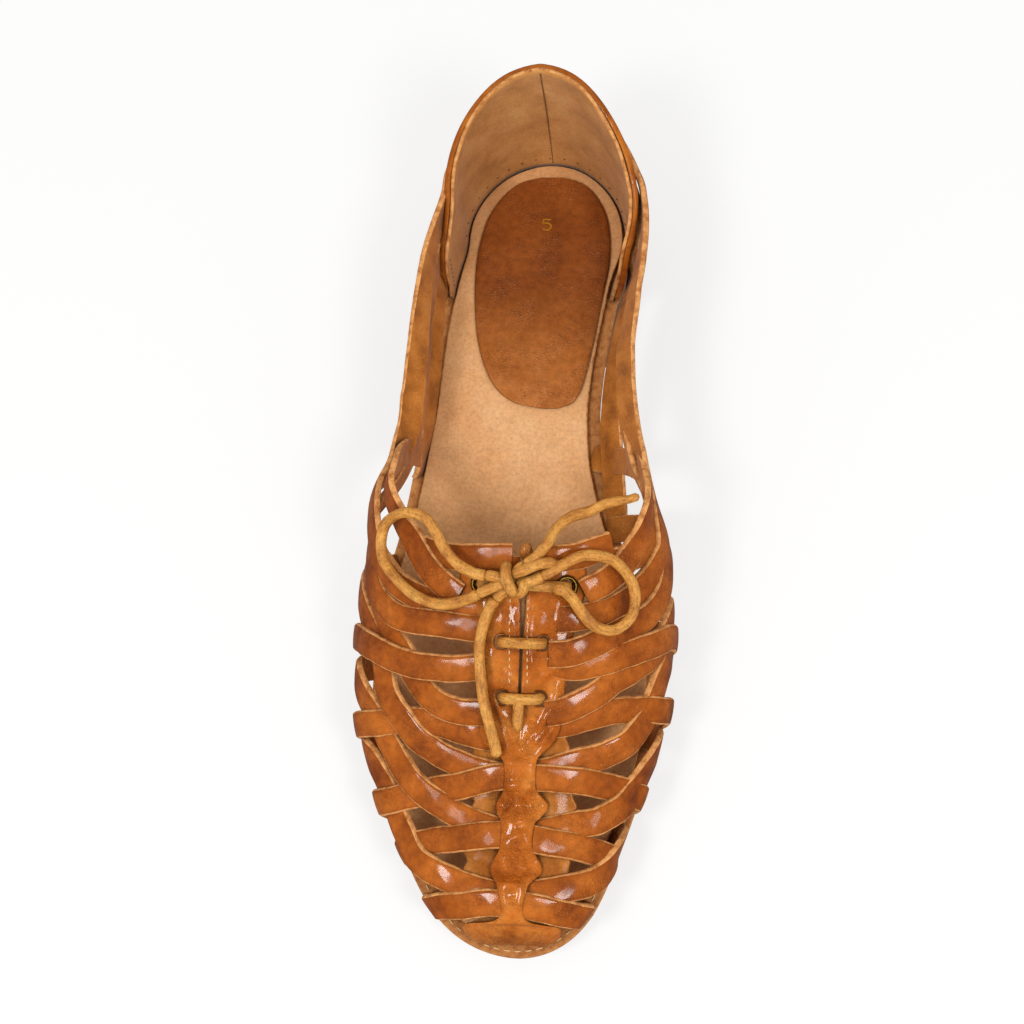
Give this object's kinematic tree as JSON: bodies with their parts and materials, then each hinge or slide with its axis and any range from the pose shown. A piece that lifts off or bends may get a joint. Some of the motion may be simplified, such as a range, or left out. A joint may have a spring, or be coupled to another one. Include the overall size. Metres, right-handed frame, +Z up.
{
  "type": "huarache sandal",
  "caption": "Flat woven leather huarache shoe, right foot, with an open strapped vamp, a laced throat, open side straps, a cupped heel counter and a low stacked heel.",
  "frame": {"origin": "on the floor under the middle of the whole shoe's length and width, measured without the free lace", "axes": "+Y along the foot towards the heel, so the toe points to -Y; +Z up; +X towards the inner (big toe) side of a right foot"},
  "size_m": [0.0937, 0.2457, 0.074],
  "materials": {
    "strap_leather": "glossy crinkled vegetable-tanned leather, tan brown outside and matt mustard tan on the flesh side",
    "insole_leather": "matt natural leather",
    "sole_leather": "matt natural leather with a stitched rim",
    "heel_pad_leather": "glossy wrinkled leather",
    "lace_leather": "round waxed leather thong, matt, with a dark speckle",
    "heel_leather": "stacked leather, satin",
    "aged_brass": "aged brass, satin"
  },
  "bodies": {
    "root": {"outsole": "sole_leather", "midsole": "sole_leather", "insole": "insole_leather", "heel_lift": "heel_leather", "heel_pad": "heel_pad_leather", "upper": "strap_leather", "eyelet_outer": "aged_brass", "eyelet_inner": "aged_brass", "lace_bars": "lace_leather", "lace_knot": "lace_leather", "lace_loop_left": "lace_leather", "lace_loop_right": "lace_leather", "lace_end_up": "lace_leather", "lace_end_down": "lace_leather"}
  },
  "joints": []
}
